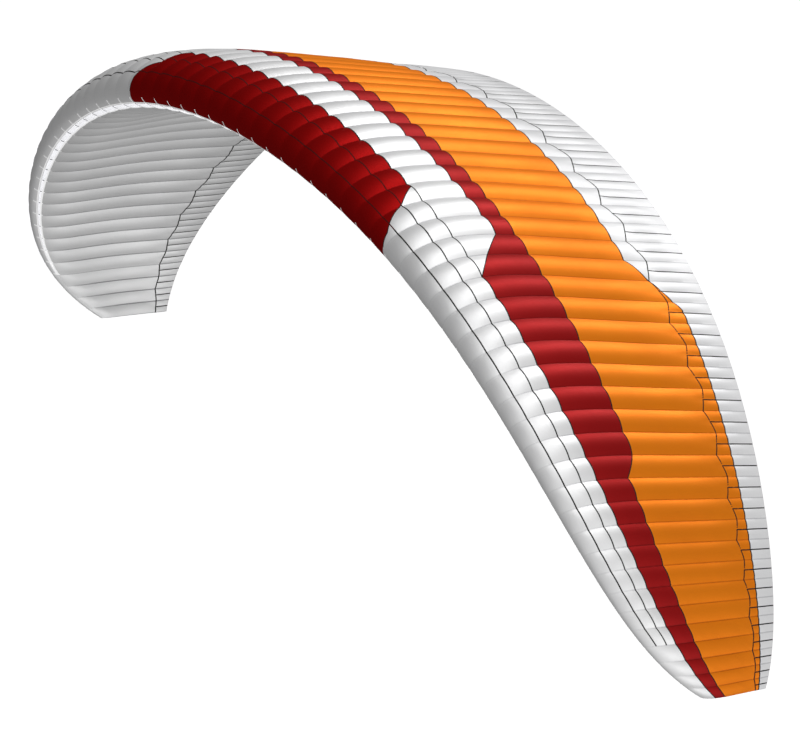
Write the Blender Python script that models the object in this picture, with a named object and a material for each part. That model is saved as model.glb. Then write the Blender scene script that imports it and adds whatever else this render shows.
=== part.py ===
"""Canopy of a ram-air paraglider, inflated as it flies.

+X is the right wing tip's side, +Y runs from the leading edge to the trailing edge and +Z is up.
The origin lies on the lower skin of the middle rib, where the suspension lines pull the hardest.

Two coordinates name a place on the skin:

r   counts cells along the span, from 0 at the right tip rib to CELLS at the left one, so that
    a whole number is a rib and a half is the middle of a cell
q   runs round the section: -1 is the trailing edge of the lower skin, 0 the nose and 1 the
    trailing edge of the upper skin, and q * q is the share of the chord

Each panel is drawn flat in r and q, cut along its borders and then inflated.
"""

import math

import bmesh
import bpy
import numpy as np
from mathutils import Vector

# Planform, in metres. s is the share of the half span along the arch, signed, + on the right.
CELLS = 66
HALF_SPAN = 6.285
CENTRE_CHORD = 2.522
CELL_TAPER = 0.256  # cells at the tip are (1 - 2 x taper) / (1 + taper) as wide as in the middle
# Each table has a row for each power of s: (power, factor)
NOSE_SWEEP = ((2, 0.422), (4, 0.546), (8, 0.080), (16, 0.372))  # metres that the nose moves back
TAIL_SWEEP = ((2, 0.373), (4, 0.240), (8, -0.077))  # metres that the tail moves on
ARCH = ((1, 0.836), (3, 1.052), (5, -1.184), (8, 0.583), (14, 0.438))  # radians of tilt
WASHOUT = ((2, 0.262), (4, -0.240))  # radians that the section turns nose down

# Section, with a row for each power of q
THICKNESS = 0.242  # factor of the profile, at the middle
TIP_THINNING = 0.284  # share of the thickness lost at the tip
PROFILE = ((1, 0.2995), (2, -0.2952), (4, -0.3396), (6, 0.6410), (8, -0.3057))
CAMBER = ((2, 0.192), (4, -0.377), (6, 0.185))  # of the chord, added to both skins
BULGE_TOP = 0.115  # height of a cell's arch over its ribs, as a share of the cell's width
BULGE_BOTTOM = 0.09
BULGE_RISES = 0.27  # share of the chord over which the arch comes up, from none at the nose
BULGE_ENDS = (0.65, 0.90)  # shares of the chord over which it goes down again

# Cloth
PLY = 0.002  # thickness of each sheet
SEAM_GAP = 0.0003  # each edge is this far inside the line of its seam
TAIL_LIFT = 0.0014  # the two skins' middle surfaces stand this far out of the section

# Borders of the panels, as shares of the chord: at the middle, and what is added at the tip
UPPER_LIP = (0.018, 0.0)  # below the nose
LOWER_LIP = (0.059, 0.0)
SEAM_3 = (0.153, 0.040)
SEAM_4 = (0.311, 0.024)
SEAM_5 = (0.381, 0.019)
ORANGE_END_MIDDLE = (0.750, 0.0)
ORANGE_END_OUTER = (0.880, 0.0)
TAIL_SEAM_ODD = (0.841, 0.0)  # the lower skin's rear seam steps from rib to rib
TAIL_SEAM_EVEN = (0.823, 0.0)

# Where the borders change line, in cells from a tip
CLOSED_CELLS = 4  # the tip cells have no intake
CLOSED_END = 0.03  # their lower panels end this far short of the last closed cell's rib
NOSE_ROWS = (0.0, 0.28, 0.45, 0.76, 1.0)  # shares of q from the nose to the nose panels' seam
LOWER_ROWS = (0.0, 0.35, 0.65, 1.0)  # shares of q from the rear lip to the rear seam
BORDER_GAP = 0.004  # in cells, more room where the slanted border folds over the ribs
LIP_GAP = 0.004  # in q, where the lower skin meets the nose panels round a tight curve
RED_NARROWS = (12.0, 13.0)
WHITE_BAND_OPENS = (21.0, 23.0)
ORANGE_SHORTENS = (19.6, 22.0)
RED_NOSE_STARTS = (23.3, 25.9)  # at the intakes and at the nose panels' rear seam

# Ribs
TAPE = 0.008  # width of the intakes' rear lip tape, as a share of the chord
RIB_INSET = 0.0016  # from the middle surface of the skins
RIB_SWEEP_INSET = 0.0026  # added for each metre that the nose sweeps back per metre of span
RIB_TAIL = 0.75  # share of the last panel's length that the ribs reach

WHITE = (0.86, 0.86, 0.87)
PALE = (0.62, 0.62, 0.63)
DARK_RED = (0.16, 0.002, 0.002)
RED = (0.33, 0.008, 0.010)
ORANGE = (0.80, 0.24, 0.02)


def power_sum(table, value):
    """Sum of factor * value ** power over a table of (power, factor) rows."""
    return sum(factor * value**power for power, factor in table)


def span_share(r):
    """Signed share of the half span at station r: (1 + w) k - w k^3, with k from 1 to -1."""
    k = 1 - 2 * np.asarray(r, float) / CELLS
    return (1 + CELL_TAPER) * k - CELL_TAPER * k**3


def cell_width(r):
    """Width of the cells round station r, in metres along the arch."""
    k = 1 - 2 * np.asarray(r, float) / CELLS
    return (1 + CELL_TAPER - 3 * CELL_TAPER * k**2) * 2 * HALF_SPAN / CELLS


def arch_line():
    """Tables of s, x and z along the arch, from the tilt integrated outwards from the middle."""
    s = np.linspace(0, 1, 801)
    tilt = power_sum(ARCH, s)
    step = HALF_SPAN / 800
    x = np.concatenate([[0], np.cumsum(np.cos(tilt[1:] / 2 + tilt[:-1] / 2)) * step])
    z = np.concatenate([[0], np.cumsum(-np.sin(tilt[1:] / 2 + tilt[:-1] / 2)) * step])
    return s, x, z


ARCH_LINE = arch_line()


def half_thickness(q):
    """Height of the section over its middle line, before the thickness, signed like q."""
    size = np.abs(q)
    return np.sign(q) * 5 * power_sum(PROFILE, size)


def profile_slope(q):
    """Derivative of half_thickness by q."""
    size = np.abs(q)
    return 5 * sum(power * factor * size ** (power - 1) for power, factor in PROFILE)


def bulge(r, q):
    """How far the cloth stands out between the ribs: an arc in each cell, flat at both ends."""
    along = np.mod(r, 1.0)
    depth = np.where(q > 0, BULGE_TOP, BULGE_BOTTOM)
    start, end = BULGE_ENDS
    up = np.clip(q * q / BULGE_RISES, 0, 1)
    down = np.clip((end - q * q) / (end - start), 0, 1) ** 0.8
    return depth * cell_width(r) * 4 * along * (1 - along) * up * down


def frame_at(r):
    """Tilt of the arch, washout, chord, nose and thickness at station r."""
    s = span_share(r)
    size = np.abs(s)
    tilt = np.sign(s) * power_sum(ARCH, size)
    nose = power_sum(NOSE_SWEEP, size)
    chord = CENTRE_CHORD - power_sum(TAIL_SWEEP, size) - nose
    thickness = THICKNESS * (1 - TIP_THINNING * size**4)
    return s, tilt, power_sum(WASHOUT, size), chord, nose, thickness


def skin(r, q, out=0.0):
    """Point of the inflated skin at (r, q), moved out metres along the section's normal.

    The section is (q^2, t * h(q) + c(q)) times the chord, with h the half thickness and c the
    camber. It is turned about its quarter chord by the washout and stood on the arch, square
    to it.
    """
    r, q = np.broadcast_arrays(np.asarray(r, float), np.asarray(q, float))
    s, tilt, washout, chord, nose, thickness = frame_at(r)
    run, rise = 2 * q, thickness * profile_slope(q)
    length = np.hypot(run, rise)
    out = out + bulge(r, q)
    y = chord * (q * q - 0.25) - out * rise / length
    h = chord * (thickness * half_thickness(q) + power_sum(CAMBER, q)) + out * run / length
    back = y * np.cos(washout) + h * np.sin(washout) + nose + 0.25 * chord
    up = h * np.cos(washout) - y * np.sin(washout)
    x = np.sign(s) * np.interp(np.abs(s), ARCH_LINE[0], ARCH_LINE[1]) + up * np.sin(tilt)
    z = np.interp(np.abs(s), ARCH_LINE[0], ARCH_LINE[2]) + up * np.cos(tilt)
    return np.stack([x, back, z], axis=-1) - ORIGIN


ORIGIN = np.zeros(3)
ORIGIN = skin(CELLS / 2, -math.sqrt(0.30), TAIL_LIFT + PLY / 2)


def seam(border, r, side=1):
    """Value of q of a border row at station r. side is -1 on the lower skin."""
    middle, tip = border
    return side * np.sqrt(middle + tip * span_share(r) ** 2)


def from_tip(r):
    """Cells between station r and the nearer tip."""
    return np.minimum(r, CELLS - r)


def blend(r, limits, outer, inner):
    """outer nearer the tip than the first limit, inner past the second, straight between."""
    share = np.clip((from_tip(r) - limits[0]) / (limits[1] - limits[0]), 0, 1)
    return outer * (1 - share) + inner * share


def nose_front(r):
    return seam(UPPER_LIP, r, -1)


def nose_line(r):
    return np.zeros_like(r)


def nose_rear(r):
    return seam(SEAM_3, r)


def red_front(r):
    return blend(r, WHITE_BAND_OPENS, seam(SEAM_3, r), seam(SEAM_4, r))


def red_rear(r):
    return blend(r, RED_NARROWS, seam(SEAM_4, r), seam(SEAM_5, r))


def orange_rear(r):
    return blend(r, ORANGE_SHORTENS, seam(ORANGE_END_OUTER, r), seam(ORANGE_END_MIDDLE, r))


def lower_lip(r):
    return seam(LOWER_LIP, r, -1)


def tip_front(r):
    return nose_front(r) - LIP_GAP


def lower_seam(r):
    """Rear seam of the lower skin, which steps between odd and even ribs."""
    along = np.abs(np.mod(r, 2) - 1)
    return seam(TAIL_SEAM_ODD, r, -1) * (1 - along) + seam(TAIL_SEAM_EVEN, r, -1) * along


def upper_tail(r):
    return np.ones_like(r)


def lower_tail(r):
    return -np.ones_like(r)


def new_object(name, bm, colour):
    """Object with its own cloth material from a finished bmesh."""
    mesh = bpy.data.meshes.new(name)
    bm.normal_update()
    bm.to_mesh(mesh)
    bm.free()
    material = bpy.data.materials.new(name)
    material.use_nodes = True
    shader = material.node_tree.nodes["Principled BSDF"]
    shader.inputs["Base Color"].default_value = (*colour, 1.0)
    shader.inputs["Roughness"].default_value = 0.55
    shader.inputs["Metallic"].default_value = 0.0
    mesh.materials.append(material)
    obj = bpy.data.objects.new(name, mesh)
    bpy.context.scene.collection.objects.link(obj)
    return obj


def between(front, rear, share):
    """Row that lies a share of the way from one row to another."""
    return lambda r: front(r) * (1 - share) + rear(r) * share


def flat_pattern(stations, *rows):
    """Flat sheet in (r, q), with a row of vertices along each of the rows, front to rear."""
    bm = bmesh.new()
    stations = np.asarray(stations, float)
    grid = [[bm.verts.new((r, q, 0)) for r, q in zip(stations, row(stations))] for row in rows]
    for near, far in zip(grid, grid[1:]):
        for i in range(len(stations) - 1):
            bm.faces.new((near[i], near[i + 1], far[i + 1], far[i]))
    return bm


def cut_pattern(bm, start, end, keep_right_wing):
    """Cut a flat pattern along the line from start to end and keep one side of it."""
    run = end - start
    bmesh.ops.bisect_plane(
        bm,
        geom=bm.verts[:] + bm.edges[:] + bm.faces[:],
        plane_co=start,
        plane_no=Vector((-run.y, run.x, 0)).normalized(),
        dist=1e-5,
        clear_outer=not keep_right_wing,
        clear_inner=keep_right_wing,
    )


def inflate(bm):
    """Stand a flat pattern on the skin, with its faces outwards and its edges off the seams."""
    where = np.array([v.co[:2] for v in bm.verts])
    for vert, place in zip(bm.verts, skin(where[:, 0], where[:, 1], TAIL_LIFT)):
        vert.co = place
    bm.normal_update()
    moves = {}
    for edge in bm.edges:
        if edge.is_boundary:
            face = edge.link_faces[0]
            along = (edge.verts[1].co - edge.verts[0].co).normalized()
            inward = face.normal.cross(along)
            middle = (edge.verts[0].co + edge.verts[1].co) / 2
            if inward.dot(face.calc_center_median() - middle) < 0:
                inward.negate()
            for vert in edge.verts:
                moves.setdefault(vert, []).append(inward)
    for vert, inwards in moves.items():
        total = sum(inwards, Vector())
        vert.co += total * (SEAM_GAP * len(inwards) / max(total.length_squared, 0.5))


def sheet(name, colour, bm):
    """One sheet of cloth, PLY thick, from its flat pattern."""
    inflate(bm)
    obj = new_object(name, bm, colour)
    solid = obj.modifiers.new("cloth", "SOLIDIFY")
    solid.thickness = PLY
    solid.offset = 0.0
    solid.use_even_offset = True
    return obj


def half_stations(start, end):
    """Stations at each rib and each cell's middle, with the two ends as given."""
    inner = [k / 2 for k in range(2 * CELLS + 1) if start + 0.05 < k / 2 < end - 0.05]
    return [start] + inner + [end]


def nose_pattern(start, end):
    """Nose panels between two stations, with rows close together round the nose."""
    rows = [between(nose_line, nose_rear, share) for share in NOSE_ROWS]
    return flat_pattern(half_stations(start, end), nose_front, *rows)


def red_nose_ends(side, shift=0.0):
    """Ends of the slanted border of the dark red nose panels, on the intakes and on the seam.

    side is 1 on the right wing and -1 on the left, and shift moves them that many cells out.
    """
    stations = [r - shift if side > 0 else CELLS - r + shift for r in RED_NOSE_STARTS]
    rows = (nose_front, nose_rear)
    return [Vector((r, float(row(r)), 0)) for r, row in zip(stations, rows)]


def lower_stations():
    """Stations of the lower skin, with one where the closed tip cells' panels end."""
    stations = half_stations(0, CELLS)
    stations[2 * CLOSED_CELLS] -= CLOSED_END
    stations[-2 * CLOSED_CELLS - 1] += CLOSED_END
    return stations


def lower_pattern():
    """Lower skin of the open cells, from the intakes' rear lip."""
    stations = lower_stations()[2 * CLOSED_CELLS : -2 * CLOSED_CELLS]
    rows = [between(lower_lip, lower_seam, share) for share in LOWER_ROWS]
    return flat_pattern(stations, *rows)


def tip_pattern(side):
    """Lower skin of the closed cells of one tip, which reaches on to the nose panels.

    side is 1 at the right tip and -1 at the left one.
    """
    columns = 2 * CLOSED_CELLS + 1
    stations = lower_stations()[:columns] if side > 0 else lower_stations()[-columns:]
    rows = [between(lower_lip, lower_seam, share) for share in LOWER_ROWS]
    return flat_pattern(stations, tip_front, *rows)


def span_direction(r):
    """Unit vector along the arch at station r, towards the right tip."""
    tilt = frame_at(r)[1]
    return Vector((math.cos(tilt), 0, -math.sin(tilt)))


def rib_depth(r, q):
    """Distance of a rib's edge from the middle surface of the cloth over it.

    The more the nose sweeps back there, and the more the cloth faces forward, the further the
    side of the flat rib would reach into it.
    """
    s, _, _, _, _, thickness = frame_at(r)
    size = abs(float(s))
    sweep = sum(power * part * size ** (power - 1) for power, part in NOSE_SWEEP) / HALF_SPAN
    run, rise = 2 * q, float(thickness * profile_slope(q))
    return RIB_INSET + RIB_SWEEP_INSET * sweep * rise / math.hypot(run, rise)


def rib_outline(r, closed):
    """Points round a rib from the intakes' rear lip over the nose to the tail and back.

    In an open cell the last two points and the first are corners of the lip tape.
    """
    lip, seam_q = float(lower_lip(r)), float(lower_seam(r))
    near, far = float(red_rear(r)), float(orange_rear(r))
    middle = lip * (1 - LOWER_ROWS[2]) + seam_q * LOWER_ROWS[2]

    def corner(q):
        return (q, q, TAIL_LIFT - rib_depth(r, q))

    line = [corner(q) for q in (0.0, float(nose_rear(r)), near, (near + far) / 2, far)]
    line += [(far, 1.0, -RIB_INSET), (seam_q, -1.0, -RIB_INSET), corner(middle)]
    if closed:
        return [corner(float(nose_front(r)))] + line + [corner(lip)]
    top, bottom = TAIL_LIFT - PLY / 2, TAIL_LIFT + PLY / 2
    tape, edge = -math.sqrt(lip * lip - TAPE), lip + 0.0012
    line = [(tape, tape, bottom), corner(-0.15)] + line
    return line + [(edge, edge, top - 0.0011), (edge, edge, top), (edge, edge, bottom)]


def section_points(r, outline):
    """Points of a rib's outline, each on the straight line between two places on the skin.

    Only the tail's corners lie between two different places, RIB_TAIL of the way along.
    """
    start, end, out = np.array(outline).T
    r = np.full(len(start), float(r))
    share = np.where(start == end, 0.0, RIB_TAIL)[:, None]
    points = skin(r, start, out) * (1 - share) + skin(r, end, out) * share
    return [Vector(p) for p in points]


def closed_rib(name, r):
    """Flat rib of a closed cell."""
    bm = bmesh.new()
    points = section_points(r, rib_outline(r, True))
    offset = span_direction(r) * PLY / 2
    right = [bm.verts.new(p + offset) for p in points]
    left = [bm.verts.new(p - offset) for p in points]
    bm.faces.new(right)
    bm.faces.new(left[::-1])
    for i in range(len(points)):
        j = (i + 1) % len(points)
        bm.faces.new((right[i], left[i], left[j], right[j]))
    bmesh.ops.recalc_face_normals(bm, faces=bm.faces)
    return new_object(name, bm, WHITE)


def rib_comb(name):
    """The ribs of the open cells, all on the tape that edges the intakes' rear lip.

    Each rib is a plate. The tape is a bar of four corners that runs from one rib's side to the
    next, through a middle section that bulges with the cell.
    """
    bm = bmesh.new()
    previous = None
    for r in range(CLOSED_CELLS, CELLS - CLOSED_CELLS + 1):
        outline = rib_outline(r, False)
        inside = (outline[0][0], outline[0][0], TAIL_LIFT - PLY / 2)
        points = section_points(r, outline + [inside])
        offset = span_direction(r) * PLY / 2
        right = [bm.verts.new(p + offset) for p in points]
        left = [bm.verts.new(p - offset) for p in points]
        count = len(outline)
        for i in range(count):
            j = (i + 1) % count
            bm.faces.new((right[i], left[i], left[j], right[j]))
        # corners of the tape: front outer, rear outer, rear inner, front inner
        corners = (0, count - 1, count - 2, count)
        plain = list(range(count))
        notched = list(range(count - 1)) + [count]
        first, last = previous is None, r == CELLS - CLOSED_CELLS
        bm.faces.new([right[i] for i in (plain if first else notched)])
        bm.faces.new([left[i] for i in (plain if last else notched)][::-1])
        if not first:
            middle = r - 0.5
            shape = [outline[0], outline[-1], outline[-2], inside]
            bar = [bm.verts.new(p) for p in section_points(middle, shape)]
            for a, b in ((previous, bar), (bar, [right[i] for i in corners])):
                for i in range(4):
                    j = (i + 1) % 4
                    bm.faces.new((a[i], a[j], b[j], b[i]))
        previous = [left[i] for i in corners]
    bmesh.ops.recalc_face_normals(bm, faces=bm.faces)
    bmesh.ops.triangulate(bm, faces=[f for f in bm.faces if len(f.verts) > 4])
    return new_object(name, bm, WHITE)


def build():
    for obj in list(bpy.data.objects):
        bpy.data.objects.remove(obj)

    whole = half_stations(0, CELLS)

    right = nose_pattern(0, 26)
    cut_pattern(right, *red_nose_ends(1, BORDER_GAP), True)
    sheet("nose_white_right", WHITE, right)
    left = nose_pattern(CELLS - 26, CELLS)
    cut_pattern(left, *red_nose_ends(-1, BORDER_GAP), False)
    sheet("nose_white_left", WHITE, left)
    red = nose_pattern(23, CELLS - 23)
    cut_pattern(red, *red_nose_ends(1), False)
    cut_pattern(red, *red_nose_ends(-1), True)
    sheet("nose_red", DARK_RED, red)

    opens = WHITE_BAND_OPENS[0] + 0.12
    white_stations = half_stations(opens, CELLS - opens)
    orange_middle = between(red_rear, orange_rear, 0.5)
    sheet("band_white", WHITE, flat_pattern(white_stations, nose_rear, red_front))
    sheet("band_red", RED, flat_pattern(whole, red_front, red_rear))
    sheet("band_orange", ORANGE, flat_pattern(whole, red_rear, orange_middle, orange_rear))
    sheet("trailing_upper", WHITE, flat_pattern(whole, orange_rear, upper_tail))

    sheet("lower_skin", PALE, lower_pattern())
    sheet("lower_tip_right", PALE, tip_pattern(1))
    sheet("lower_tip_left", PALE, tip_pattern(-1))
    sheet("trailing_lower", PALE, flat_pattern(lower_stations(), lower_seam, lower_tail))

    rib_comb("ribs")
    for r in range(CLOSED_CELLS):
        closed_rib(f"rib_right_{r}", r)
        closed_rib(f"rib_left_{r}", CELLS - r)


build()
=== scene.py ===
"""A paraglider's ram-air canopy, inflated as it flies, in panels of sewn cloth.

Two coordinates name a place on the cloth, so that every panel, seam and stitch is laid out flat and
then inflated:

r   counts cells along the span, from 0 at the right tip rib to 66 at the left one, so that a whole
    number is a rib and a half is the middle of a cell
q   runs round the section: -1 is the trailing edge of the lower skin, 0 the nose and 1 the
    trailing edge of the upper skin, and q * q is the share of the chord
"""

from __future__ import annotations

import logging
import math
from collections.abc import Callable, Sequence
from dataclasses import dataclass
from enum import Enum
from functools import cached_property, partial

import bmesh
import bpy
import numpy as np
from mathutils import Matrix, Vector


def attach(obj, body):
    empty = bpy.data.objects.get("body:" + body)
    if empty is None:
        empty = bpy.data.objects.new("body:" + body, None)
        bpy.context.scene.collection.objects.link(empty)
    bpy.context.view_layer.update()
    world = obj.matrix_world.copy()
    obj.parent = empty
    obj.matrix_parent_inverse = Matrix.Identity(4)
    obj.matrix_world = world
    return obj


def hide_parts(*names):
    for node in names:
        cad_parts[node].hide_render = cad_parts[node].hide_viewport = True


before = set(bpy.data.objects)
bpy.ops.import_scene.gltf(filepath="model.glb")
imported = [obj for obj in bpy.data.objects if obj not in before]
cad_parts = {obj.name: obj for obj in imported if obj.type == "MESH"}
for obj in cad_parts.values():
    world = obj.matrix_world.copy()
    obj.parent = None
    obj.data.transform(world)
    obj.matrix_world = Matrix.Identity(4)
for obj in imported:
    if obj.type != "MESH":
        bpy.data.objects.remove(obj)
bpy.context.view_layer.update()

LOG = logging.getLogger("wing")

Array = np.ndarray
Powers = tuple[tuple[int, float], ...]
Border = tuple[float, float]
Triple = tuple[float, float, float]
Row = Callable[[Array], Array]
Socket = bpy.types.NodeSocket
Inputs = dict[str | int, Socket | float | Sequence[float]]


class Slot(Enum):
    """Material slots of the record."""

    WHITE = "white_cloth"
    PALE = "pale_cloth"
    DARK_RED = "dark_red_cloth"
    RED = "red_cloth"
    ORANGE = "orange_cloth"
    RIB = "rib_cloth"


def grey(tone: float) -> Triple:
    """Colour without a hue."""
    return tone, tone, tone


def opaque(colour: Triple) -> tuple[float, ...]:
    """Colour with the alpha that a colour socket takes."""
    return *colour, 1.0


def power_sum(table: Powers, value: Array) -> Array:
    """Sum of factor * value ** power.

    Args:
        table: Rows of (power, factor).
        value: Where the sum is worked out.

    Returns:
        The sum, in the shape of value.
    """
    return sum(factor * value**power for power, factor in table)


def run_lengths(points: Array) -> Array:
    """Length of each line whose points follow one another along the first axis."""
    return np.linalg.norm(np.diff(points, axis=0), axis=-1).sum(axis=0)


@dataclass(frozen=True)
class Canopy:
    """Inflated shape of the wing, in metres, and the borders of its panels.

    A border is a pair of chord shares: its place at the middle of the span, and what is added to
    it at the tip. A fade of the cells' arcs is the chord share where it ends and how much of the
    chord it takes. The last three fields are counted in cells from the tip.
    """

    cells: int = 66
    half_span: float = 6.285
    centre_chord: float = 2.522
    cell_taper: float = 0.256
    nose_sweep: Powers = ((2, 0.422), (4, 0.546), (8, 0.080), (16, 0.372))
    tail_sweep: Powers = ((2, 0.373), (4, 0.240), (8, -0.077))
    arch: Powers = ((1, 0.836), (3, 1.052), (5, -1.184), (8, 0.583), (14, 0.438))
    washout: Powers = ((2, 0.262), (4, -0.240))
    thickness: float = 0.242
    tip_thinning: float = 0.284
    profile: Powers = ((1, 0.2995), (2, -0.2952), (4, -0.3396), (6, 0.6410), (8, -0.3057))
    camber: Powers = ((2, 0.192), (4, -0.377), (6, 0.185))
    quarter: float = 0.25
    lowest_line: float = 0.30

    bulge_depth: float = 0.115
    upper_rise: float = 0.09
    lower_rise: float = 0.16
    half_bulge: float = 1.6
    cell_fade: Border = (0.90, 0.25)
    half_fade: Border = (1.00, 0.10)
    fade_power: float = 0.8
    halving: Border = (0.80, 0.06)

    ply: float = 0.002
    seam_gap: float = 0.0003
    lift: float = 0.0014
    closed_cells: int = 4
    steps_per_cell: int = 10
    least_step: float = 0.03
    table_steps: int = 800
    probe: float = 1e-4
    flat_rows: int = 40
    flat_inset: float = 1e-3
    flat_room: float = 1.01

    upper_lip: Border = (0.016, 0.022)
    lower_lip: Border = (0.043, -0.002)
    seam_1: Border = (0.025, 0.034)
    seam_2: Border = (0.086, 0.041)
    seam_3: Border = (0.153, 0.040)
    seam_4: Border = (0.311, 0.024)
    seam_5: Border = (0.381, 0.019)
    orange_end_middle: Border = (0.750, 0.0)
    orange_end_outer: Border = (0.880, 0.0)
    tail_seam_odd: Border = (0.803, 0.010)
    tail_seam_even: Border = (0.838, -0.006)
    lower_seam_odd: Border = (0.841, 0.0)
    lower_seam_even: Border = (0.823, 0.0)
    red_narrows: tuple[float, float] = (12.0, 13.0)
    white_band_opens: tuple[float, float] = (21.0, 23.0)
    orange_shortens: tuple[float, float] = (19.6, 22.0)

    def span_share(self, r: Array) -> Array:
        """Signed share of the half span at station r: (1 + w) k - w k^3, with k from 1 to -1."""
        k = 1 - 2 * np.asarray(r, float) / self.cells
        return (1 + self.cell_taper) * k - self.cell_taper * k**3

    def cell_width(self, r: Array) -> Array:
        """Width of the cells round station r along the arch: the slope of span_share."""
        k = 1 - 2 * np.asarray(r, float) / self.cells
        return (1 + self.cell_taper - 3 * self.cell_taper * k**2) * 2 * self.half_span / self.cells

    def chord(self, size: Array) -> Array:
        """Chord at a share of the half span, which the sweep of the nose and the tail leaves."""
        sweep = power_sum(self.tail_sweep, size)
        return self.centre_chord - sweep - power_sum(self.nose_sweep, size)

    @cached_property
    def arch_line(self) -> tuple[Array, Array, Array]:
        """The arch's line, from its tilt, added up outwards from the middle.

        Returns:
            Tables of the share of the half span, of x and of z.
        """
        s = np.linspace(0, 1, self.table_steps + 1)
        tilt = power_sum(self.arch, s)
        step = self.half_span / self.table_steps
        middle = tilt[1:] / 2 + tilt[:-1] / 2
        x = np.concatenate([[0], np.cumsum(np.cos(middle)) * step])
        z = np.concatenate([[0], np.cumsum(-np.sin(middle)) * step])
        return s, x, z

    def half_thickness(self, q: Array) -> Array:
        """Height of the section over its middle line, before the thickness, signed like q."""
        return np.sign(q) * 5 * power_sum(self.profile, np.abs(q))

    def profile_slope(self, q: Array) -> Array:
        """Derivative of half_thickness by q."""
        size = np.abs(q)
        return 5 * sum(power * part * size ** (power - 1) for power, part in self.profile)

    def faded(self, share: Array, fade: Border) -> Array:
        """Factor that falls from 1 to 0 over a stretch of the chord."""
        return np.clip((fade[0] - share) / fade[1], 0, 1) ** self.fade_power

    def bulge(self, r: Array, q: Array) -> Array:
        """How far the cloth stands out between the ribs: a parabola from rib to rib.

        It grows from nothing at the nose, fast on the upper skin and slower on the lower one.
        Behind the tail seam short ribs stand in the middle of the cells too, so that the one arc
        turns into two half as wide, and both die out before the trailing edge.

        Args:
            r: Stations.
            q: Places round the section.

        Returns:
            Metres along the section's normal.
        """
        share = q * q
        upper = np.sqrt(np.clip(share / self.upper_rise, 0, 1))
        grown = np.where(q > 0, upper, np.clip(share / self.lower_rise, 0, 1))
        along, half = np.mod(r, 1.0), np.mod(2 * r, 1.0)
        whole = 4 * along * (1 - along) * self.faded(share, self.cell_fade)
        pair = self.half_bulge * half * (1 - half) * self.faded(share, self.half_fade)
        split = np.clip((share - self.halving[0]) / self.halving[1], 0, 1)
        return self.bulge_depth * self.cell_width(r) * grown * (whole * (1 - split) + pair * split)

    def skin(self, r: Array, q: Array, out: Array | float = 0.0) -> Array:
        """Point of the inflated cloth.

        The section is (q^2, t * h(q) + c(q)) times the chord, with h the half thickness and c
        the camber. It is turned about its quarter chord by the washout and stood on the arch,
        square to it.

        Args:
            r: Stations, in cells from the right tip.
            q: Places round the section.
            out: Metres along the section's normal, over the bulge.

        Returns:
            Points, with x, y and z along the last axis.
        """
        return self._inflated(r, q, out) - self.origin

    @cached_property
    def origin(self) -> Array:
        """Lowest line attachment on the middle rib, where the part's origin lies."""
        out = self.lift + self.ply / 2
        return self._inflated(self.cells / 2, -math.sqrt(self.lowest_line), out)

    def _inflated(self, r: Array, q: Array, out: Array | float) -> Array:
        """Point of the cloth before the origin is moved to the middle rib's lower side.

        Args:
            r: Stations.
            q: Places round the section.
            out: Metres over the bulge.

        Returns:
            Points, as skin gives them.
        """
        r, q = np.broadcast_arrays(np.asarray(r, float), np.asarray(q, float))
        s = self.span_share(r)
        size = np.abs(s)
        tilt = np.sign(s) * power_sum(self.arch, size)
        turn = power_sum(self.washout, size)
        nose = power_sum(self.nose_sweep, size)
        chord = self.chord(size)
        thick = self.thickness * (1 - self.tip_thinning * size**4)
        run, rise = 2 * q, thick * self.profile_slope(q)
        length = np.hypot(run, rise)
        out = out + self.bulge(r, q)
        y = chord * (q * q - self.quarter) - out * rise / length
        middle = power_sum(self.camber, q)
        h = chord * (thick * self.half_thickness(q) + middle) + out * run / length
        back = y * np.cos(turn) + h * np.sin(turn) + nose + self.quarter * chord
        up = h * np.cos(turn) - y * np.sin(turn)
        table = self.arch_line
        x = np.sign(s) * np.interp(size, table[0], table[1]) + up * np.sin(tilt)
        z = np.interp(size, table[0], table[2]) + up * np.cos(tilt)
        return np.stack([x, back, z], axis=-1)

    def seam(self, border: Border, r: Array, side: int = 1) -> Array:
        """Value of q of a border at station r. side is -1 on the lower skin."""
        middle, tip = border
        return side * np.sqrt(middle + tip * self.span_share(r) ** 2)

    def from_tip(self, r: Array) -> Array:
        """Cells between station r and the nearer tip."""
        return np.minimum(r, self.cells - r)

    def blend(self, r: Array, limits: tuple[float, float], outer: Array, inner: Array) -> Array:
        """Straight change between two rows.

        Args:
            r: Stations.
            limits: Cells from the tip where the change starts and ends.
            outer: Row on the tip's side of the first limit.
            inner: Row past the second limit.

        Returns:
            The row at each station.
        """
        share = np.clip((self.from_tip(r) - limits[0]) / (limits[1] - limits[0]), 0, 1)
        return outer * (1 - share) + inner * share

    def nose_front(self, r: Array) -> Array:
        """Upper lip of the intakes."""
        return self.seam(self.upper_lip, r, -1)

    def nose_rear(self, r: Array) -> Array:
        """Rear border of the nose panels."""
        return self.seam(self.seam_3, r)

    def red_front(self, r: Array) -> Array:
        """Front border of the red band."""
        inner, outer = self.seam(self.seam_4, r), self.seam(self.seam_3, r)
        return self.blend(r, self.white_band_opens, outer, inner)

    def red_rear(self, r: Array) -> Array:
        """Rear border of the red band, which lies further forward in the outer twelve cells."""
        outer, inner = self.seam(self.seam_4, r), self.seam(self.seam_5, r)
        return self.blend(r, self.red_narrows, outer, inner)

    def orange_rear(self, r: Array) -> Array:
        """Rear border of the orange band."""
        outer, inner = self.seam(self.orange_end_outer, r), self.seam(self.orange_end_middle, r)
        return self.blend(r, self.orange_shortens, outer, inner)

    def stepped(self, odd: Border, even: Border, r: Array, side: int) -> Array:
        """Seam that runs straight from its place on each odd rib to its place on each even rib."""
        along = np.abs(np.mod(r, 2) - 1)
        return self.seam(odd, r, side) * (1 - along) + self.seam(even, r, side) * along

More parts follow.
